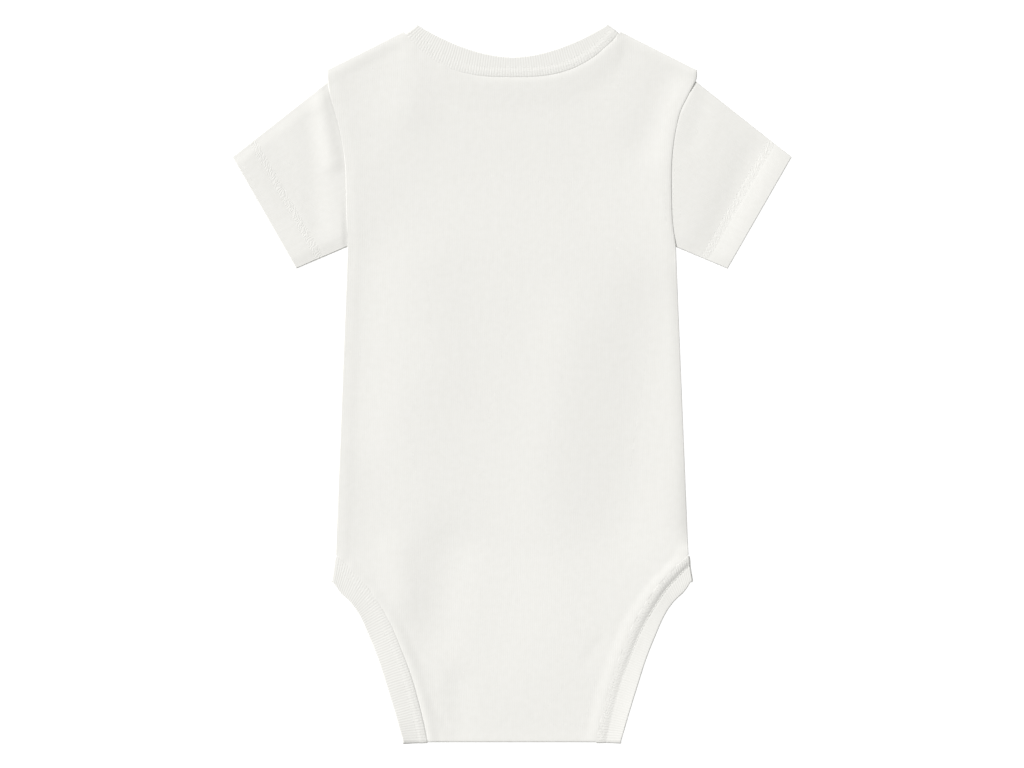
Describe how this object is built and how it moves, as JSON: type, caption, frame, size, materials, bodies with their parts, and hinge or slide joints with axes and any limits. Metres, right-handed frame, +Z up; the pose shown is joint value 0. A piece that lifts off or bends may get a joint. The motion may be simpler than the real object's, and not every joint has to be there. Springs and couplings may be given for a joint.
{
  "type": "baby bodysuit",
  "caption": "Plain short-sleeved baby bodysuit laid flat with its back upwards: rib-bound neck and leg openings, hemmed sleeves, snap-closed crotch folded under to the front",
  "frame": {"origin": "on the surface the garment lies on, under the middle of its outline", "axes": "+Z up, out of the back panel; +Y towards the neck; +X towards the garment's side that lies right in the picture"},
  "size_m": [0.3242, 0.4165, 0.0055],
  "materials": {
    "jersey": "matte cotton knit",
    "rib_binding": "matte cotton rib knit",
    "snap": "smooth enamel"
  },
  "bodies": {
    "root": {"back_panel": "jersey", "front_panel": "jersey", "right_sleeve": "jersey", "left_sleeve": "jersey", "neck_binding": "rib_binding", "right_leg_binding": "rib_binding", "left_leg_binding": "rib_binding", "snap_1": "snap", "snap_2": "snap", "snap_3": "snap"}
  },
  "joints": []
}
